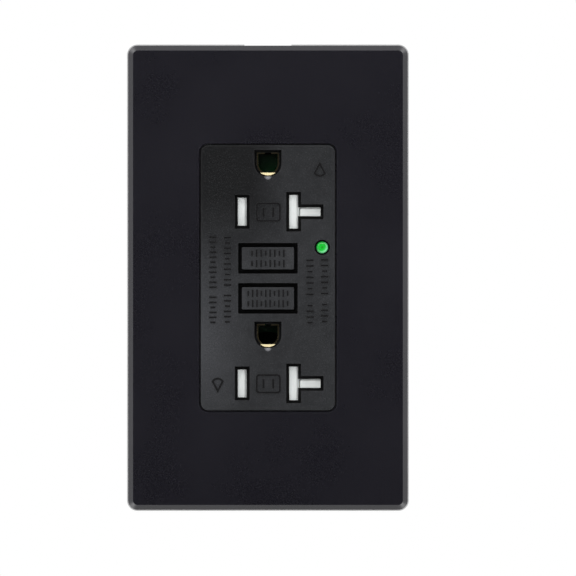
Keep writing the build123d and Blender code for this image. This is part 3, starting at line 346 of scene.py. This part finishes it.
def lathe(profile, sides=ROUND):
    """Vertices and faces of a solid turned about local Z from (radius, height) pairs, axis to axis."""
    verts = [Vector((0, 0, profile[0][1]))]
    rings = profile[1:-1]
    for radius, height in rings:
        for k in range(sides):
            turn = math.tau * k / sides
            verts.append(Vector((radius * math.cos(turn), radius * math.sin(turn), height)))
    verts.append(Vector((0, 0, profile[-1][1])))
    last = len(verts) - 1
    faces = []
    for k in range(sides):
        after = (k + 1) % sides
        faces.append((0, 1 + after, 1 + k))
        for ring in range(len(rings) - 1):
            base = 1 + ring * sides
            faces.append((base + k, base + after, base + sides + after, base + sides + k))
        base = 1 + (len(rings) - 1) * sides
        faces.append((base + k, base + after, last))
    return verts, faces


def tube_ring(profile, sides=ROUND):
    """Vertices and faces of a ring: a closed (radius, height) outline turned about local Z."""
    verts = []
    faces = []
    count = len(profile)
    for k in range(sides):
        turn = math.tau * k / sides
        verts += [Vector((r * math.cos(turn), r * math.sin(turn), h)) for r, h in profile]
        base, after = k * count, (k + 1) % sides * count
        for i in range(count):
            j = (i + 1) % count
            faces.append((base + i, base + j, after + j, after + i))
    return verts, faces


def thread(radius, start, end, pitch, depth, sides=24, rows_per_turn=8):
    """A screw thread about local Z from start to end, with a short taper at the tip."""
    rows = max(2, round((end - start) / pitch * rows_per_turn))
    verts = [Vector((0, 0, start))]
    for row in range(rows + 1):
        height = start + (end - start) * row / rows
        tip = min(1.0, (end - height) / (1.2 * pitch) + 0.55)
        lead = min(1.0, (height - start) / pitch)
        for k in range(sides):
            phase = (height / pitch - k / sides) % 1.0
            crest = max(0.0, 1.0 - abs(phase - 0.5) / 0.42)
            reach = radius - depth * (1.0 - min(1.0, 1.25 * crest) * lead)
            turn = math.tau * k / sides
            verts.append(Vector((reach * tip * math.cos(turn), reach * tip * math.sin(turn), height)))
    verts.append(Vector((0, 0, end)))
    last = len(verts) - 1
    faces = []
    for k in range(sides):
        after = (k + 1) % sides
        faces.append((0, 1 + after, 1 + k))
        faces.append((last, last - sides + k, last - sides + after))
        for row in range(rows):
            base = 1 + row * sides
            faces.append((base + k, base + after, base + sides + after, base + sides + k))
    return verts, faces


def loose_object(name, parts):
    """An object from several lists of vertices and faces."""
    verts, faces = [], []
    for part_verts, part_faces in parts:
        faces += [tuple(i + len(verts) for i in face) for face in part_faces]
        verts += part_verts
    mesh = bpy.data.meshes.new(name)
    mesh.from_pydata(verts, [], faces)
    mesh.validate()
    made = bpy.data.objects.new(name, mesh)
    bpy.context.scene.collection.objects.link(made)
    return made


def carve(target, cutter):
    """Cuts cutter out of target and discards it."""
    step = target.modifiers.new("cut", "BOOLEAN")
    step.operation = "DIFFERENCE"
    step.solver = "EXACT"
    step.object = cutter
    bpy.context.view_layer.update()
    shaped = bpy.data.meshes.new_from_object(target.evaluated_get(bpy.context.evaluated_depsgraph_get()))
    target.modifiers.clear()
    target.data = shaped
    bpy.data.objects.remove(cutter)


def bar(half_x, half_y, near, far, narrow=1.0):
    """A bar along local Z between two heights, narrowed at the far end."""
    verts = []
    for height, grow in ((near, 1.0), (far, narrow)):
        for x, y in ((-1, -1), (1, -1), (1, 1), (-1, 1)):
            verts.append(Vector((x * half_x * grow, y * half_y * grow, height)))
    faces = [(3, 2, 1, 0), (4, 5, 6, 7), (0, 1, 5, 4), (1, 2, 6, 5), (2, 3, 7, 6), (3, 0, 4, 7)]
    return verts, faces


def screw_head(radius, thick, crown, cuts, sides=ROUND):
    """A crowned head under z = 0, its drive cut with bars of (half_x, half_y, depth, narrow)."""
    profile = [(0, 0), (radius - 0.06 * MM, 0), (radius, -0.08 * MM), (radius, -thick + crown)]
    for step in (0.35, 0.7, 1.0):
        turn = step * math.pi / 2
        profile.append((radius - crown * (1 - math.cos(turn)), -thick + crown * (1 - math.sin(turn))))
    profile += [(radius * 0.5, -thick), (0, -thick)]
    head = loose_object("head", [lathe([(r, h) for r, h in reversed(profile)], sides)])
    for half_x, half_y, depth, narrow in cuts:
        recess = bar(half_x, half_y, -thick - 0.2 * MM, -thick + depth, narrow)
        carve(head, loose_object("cutter", [recess]))
    return head


def finish_piece(name, made, node_name):
    """Names a piece, gives it its node's material, smooths it and lets it ride in the node's place."""
    made.name = name
    made.data.name = name
    made.data.materials.clear()
    made.data.materials.append(materials[slot_of[node_name]])
    made.data.polygons.foreach_set("use_smooth", [True] * len(made.data.polygons))
    made.data.set_sharp_from_angle(angle=math.radians(SMOOTH_BELOW))
    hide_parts(node_name)
    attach(made, body_with[node_name])


def merged(name, placed):
    """One object from copies of a local mesh, each put in place by a matrix."""
    joined = bmesh.new()
    for source, matrix in placed:
        copy = source.data.copy()
        copy.transform(matrix)
        joined.from_mesh(copy)
        bpy.data.meshes.remove(copy)
    mesh = bpy.data.meshes.new(name)
    bmesh.ops.recalc_face_normals(joined, faces=joined.faces)
    joined.to_mesh(mesh)
    joined.free()
    made = bpy.data.objects.new(name, mesh)
    bpy.context.scene.collection.objects.link(made)
    return made


def aimed(place, direction):
    """A matrix that puts local Z along direction at place, in millimetres."""
    turn = Vector(direction).to_track_quat("Z", "Y").to_matrix().to_4x4()
    return Matrix.Translation(Vector(place) * MM) @ turn


def slot_cut(radius, half_width, depth):
    return (radius * 1.1, half_width, depth, 1.0)


def cross_cuts(reach, half_width, depth):
    return [(reach, half_width, depth, 0.55), (half_width, reach, depth, 0.55)]


def fit_screws(name, node_name, places, head, shank):
    """Replaces a screw node with a head and a threaded shank at each (place, direction) pair."""
    made = merged(name, [(piece, aimed(*place)) for place in places for piece in (head, shank)])
    for piece in (head, shank):
        bpy.data.objects.remove(piece)
    finish_piece(name, made, node_name)


# thread sizes: radius, pitch, depth
NO_6 = (1.75 * MM, 0.79 * MM, 0.38 * MM)
NO_8 = (2.08 * MM, 0.79 * MM, 0.42 * MM)
SMALL = (1.2 * MM, 0.6 * MM, 0.26 * MM)


def shank(size, length, start=0.0):
    radius, pitch, depth = size
    return loose_object("shank", [thread(radius, start, length, pitch, depth)])


PLATE_SCREW_Z, BOX_SCREW_Z, TERMINAL_Z, TERMINAL_Y = 48.42, 41.67, 19.0, 17.0
fit_screws("plate_screws_threaded", "plate_screws",
           [((0, -2.8, z), (0, 1, 0)) for z in (-PLATE_SCREW_Z, PLATE_SCREW_Z)],
           screw_head(3.3 * MM, 0.9 * MM, 0.3 * MM, [slot_cut(3.3 * MM, 0.4 * MM, 0.45 * MM)]),
           shank(NO_6, 7.3 * MM))
box_neck = lathe([(0, 0), (1.6 * MM, 0), (1.6 * MM, 1.4 * MM), (0, 1.4 * MM)])
box_shank = loose_object("shank", [box_neck, thread(NO_6[0], 1.3 * MM, 24.3 * MM, NO_6[1], NO_6[2])])
fit_screws("box_screws_threaded", "box_screws",
           [((0, -1.3, z), (0, 1, 0)) for z in (-BOX_SCREW_Z, BOX_SCREW_Z)],
           screw_head(3.6 * MM, 1.4 * MM, 0.5 * MM,
                      [slot_cut(3.6 * MM, 0.5 * MM, 0.6 * MM), *cross_cuts(1.9 * MM, 0.55 * MM, 1.1 * MM)]),
           box_shank)
fit_screws("case_screws_threaded", "case_screws",
           [((x, 27.0, z), (0, -1, 0)) for x in (-13.0, 13.0) for z in (28.8, -12.0)],
           screw_head(2.2 * MM, 1.3 * MM, 0.5 * MM, cross_cuts(1.3 * MM, 0.32 * MM, 0.85 * MM)),
           shank(SMALL, 31.7 * MM))
for position, z in (("load", TERMINAL_Z), ("line", -TERMINAL_Z)):
    for side, pole in ((-1, "hot"), (1, "neutral")):
        node_name = f"{position}_{pole}_screw"
        fit_screws(f"{node_name}_threaded", node_name, [((side * 17.8, TERMINAL_Y, z), (-side, 0, 0))],
                   screw_head(4.0 * MM, 2.1 * MM, 0.55 * MM,
                              [slot_cut(4.0 * MM, 0.5 * MM, 0.9 * MM),
                               *cross_cuts(2.1 * MM, 0.55 * MM, 1.6 * MM)]),
                   shank(NO_8, 6.6 * MM))
fit_screws("ground_screw_threaded", "ground_screw", [((-18.85, 7.0, -28.6), (1, 0, 0))],
           screw_head(4.1 * MM, 2.2 * MM, 0.35 * MM, [slot_cut(4.1 * MM, 0.5 * MM, 0.9 * MM)], sides=6),
           shank(NO_8, 5.65 * MM))

# windings
COIL_Z, COIL_IN, COIL_OUT, COIL_WIRE = (3.85 * MM, 15.15 * MM), 2.75 * MM, 4.6 * MM, 0.13 * MM
outline = [(COIL_IN, COIL_Z[0]), (COIL_IN, COIL_Z[1])]
turns = round((COIL_Z[1] - COIL_Z[0]) / (2 * COIL_WIRE))
for row in range(turns):
    middle = COIL_Z[1] - (row + 0.5) * (COIL_Z[1] - COIL_Z[0]) / turns
    for step in range(6):
        turn = math.pi * (step + 0.5) / 6
        outline.append((COIL_OUT - COIL_WIRE * (1 - math.sin(turn)), middle + COIL_WIRE * math.cos(turn)))
coil = loose_object("coil", [tube_ring(outline[::-1], 40)])
winding = merged("solenoid_winding", [(coil, aimed((0, 18.0, 0), (0, 0, 1)))])
finish_piece("solenoid_winding", winding, "solenoid_coil")
bpy.data.objects.remove(coil)

CORE_IN, CORE_OUT, CORE_HIGH, WIRE_R, CORE_TURNS = 4.0 * MM, 7.4 * MM, 3.6 * MM, 0.15 * MM, 76


def wound_ring():
    """A toroid about local Z, from z = 0 up: a core with wire loops close together round it."""
    inset = 2 * WIRE_R
    low, high = inset, CORE_HIGH - inset
    near, far = CORE_IN + inset, CORE_OUT - inset
    core = tube_ring([(near, low), (far, low), (far, high), (near, high)], 48)
    soft = 0.7 * MM
    path = []
    wide, tight = far - soft + WIRE_R, near + soft - WIRE_R
    top, bottom = high - soft + WIRE_R, low + soft - WIRE_R
    for cx, cz, first in ((wide, top, 0), (tight, top, 1), (tight, bottom, 2), (wide, bottom, 3)):
        for step in range(4):
            turn = (first + step / 3) * math.pi / 2
            path.append((cx + soft * math.cos(turn), cz + soft * math.sin(turn), turn))
    parts = [core]
    for loop in range(CORE_TURNS):
        around = math.tau * loop / CORE_TURNS
        out = Vector((math.cos(around), math.sin(around), 0))
        aside = Vector((-math.sin(around), math.cos(around), 0))
        verts = []
        for radius, height, turn in path:
            centre = out * radius + Vector((0, 0, height))
            normal = out * math.cos(turn) + Vector((0, 0, math.sin(turn)))
            for k in range(6):
                bend = math.tau * k / 6
                verts.append(centre + (normal * math.cos(bend) + aside * math.sin(bend)) * WIRE_R)
        count = len(path)
        faces = []
        for i in range(count):
            here, there = i * 6, (i + 1) % count * 6
            faces += [(here + k, here + (k + 1) % 6, there + (k + 1) % 6, there + k) for k in range(6)]
        parts.append((verts, faces))
    return loose_object("ring", parts)


for name, front in (("sense_coil", 14.3), ("neutral_coil", 18.5)):
    ring = wound_ring()
    made = merged(f"{name}_winding", [(ring, aimed((0, front, -22.0), (0, 1, 0)))])
    bpy.data.objects.remove(ring)
    finish_piece(f"{name}_winding", made, name)

# ---------------------------------------------------------------- light, floor, camera
# A round tent of light, dim straight ahead of the face and bright at the sides, most so in the corners.
SEEN_WHITE, TENT_AHEAD, TENT_SIDE, TENT_CORNER = 1.0, 0.05, 1.3, 3.2
world = bpy.data.worlds.new("studio")
bpy.context.scene.world = world
world.use_nodes = True
tree = world.node_tree
tent = tree.nodes["Background"]
tent.inputs["Color"].default_value = (1, 1, 1, 1)


def world_math(operation, a, b):
    made = tree.nodes.new("ShaderNodeMath")
    made.operation = operation
    for socket, value in zip(made.inputs, (a, b)):
        if isinstance(value, bpy.types.NodeSocket):
            tree.links.new(value, socket)
        else:
            socket.default_value = value
    return made.outputs["Value"]


direction = tree.nodes.new("ShaderNodeSeparateXYZ")
tree.links.new(tree.nodes.new("ShaderNodeTexCoord").outputs["Generated"], direction.inputs["Vector"])
aside = tree.nodes.new("ShaderNodeMapRange")
aside.interpolation_type = "SMOOTHSTEP"
for key, value in (("From Min", -0.93), ("From Max", -0.35), ("To Min", TENT_AHEAD), ("To Max", TENT_SIDE)):
    aside.inputs[key].default_value = value
tree.links.new(direction.outputs["Y"], aside.inputs["Value"])
slanted = world_math("MULTIPLY", direction.outputs["X"], direction.outputs["Z"])
diagonal = world_math("MULTIPLY", world_math("ABSOLUTE", slanted, 0.0), 2.0)
corners = world_math("MULTIPLY", world_math("POWER", diagonal, 4.0), TENT_CORNER)
tree.links.new(world_math("ADD", aside.outputs["Result"], corners), tent.inputs["Strength"])
backdrop = tree.nodes.new("ShaderNodeBackground")
backdrop.inputs["Color"].default_value = (1, 1, 1, 1)
backdrop.inputs["Strength"].default_value = SEEN_WHITE
seen = tree.nodes.new("ShaderNodeLightPath")
choice = tree.nodes.new("ShaderNodeMixShader")
tree.links.new(seen.outputs["Is Camera Ray"], choice.inputs["Fac"])
tree.links.new(tent.outputs["Background"], choice.inputs[1])
tree.links.new(backdrop.outputs["Background"], choice.inputs[2])
tree.links.new(choice.outputs["Shader"], tree.nodes["World Output"].inputs["Surface"])


def softbox(name, place, size, power, glossy=True, aim=(0, 0, 0)):
    """A soft rectangular light that isn't seen itself."""
    lamp = bpy.data.lights.new(name, "AREA")
    lamp.shape = "RECTANGLE"
    lamp.size, lamp.size_y = size
    lamp.energy = power
    held = bpy.data.objects.new(name, lamp)
    bpy.context.scene.collection.objects.link(held)
    held.location = place
    held.rotation_euler = (Vector(aim) - Vector(place)).to_track_quat("-Z", "Y").to_euler()
    held.visible_camera = False
    held.visible_glossy = glossy
    return held


softbox("front_box", (-0.25, -1.2, 0.45), (0.9, 0.9), 14.0, glossy=False)
softbox("top_box", (0.0, -0.75, 0.75), (0.9, 0.35), 2.0)

FLOOR_HALF, FLOOR_GAP, CAMERA_BACK = 1.5, 0.2 * MM, 1.0
mesh = bpy.data.meshes.new("floor")
draft = bmesh.new()
bmesh.ops.create_grid(draft, x_segments=8, y_segments=8, size=FLOOR_HALF)
bmesh.ops.translate(draft, verts=draft.verts, vec=(0, 0, cad_box[0].z - FLOOR_GAP))
draft.to_mesh(mesh)
draft.free()
floor = bpy.data.objects.new("floor", mesh)
bpy.context.scene.collection.objects.link(floor)
mesh.materials.append(materials.setdefault("floor", pale_floor()))
floor.visible_glossy = False  # the tent alone shows in glossy surfaces

camera_data = bpy.data.cameras.new("camera")
camera_data.type = "ORTHO"
camera_data.ortho_scale = VIEW_WIDTH
camera = bpy.data.objects.new("camera", camera_data)
bpy.context.scene.collection.objects.link(camera)
camera.location = (VIEW_CENTRE[0], -CAMERA_BACK, VIEW_CENTRE[1])
camera.rotation_euler = (math.radians(90), 0, 0)
bpy.context.scene.camera = camera
bpy.context.scene.view_settings.view_transform = "Standard"
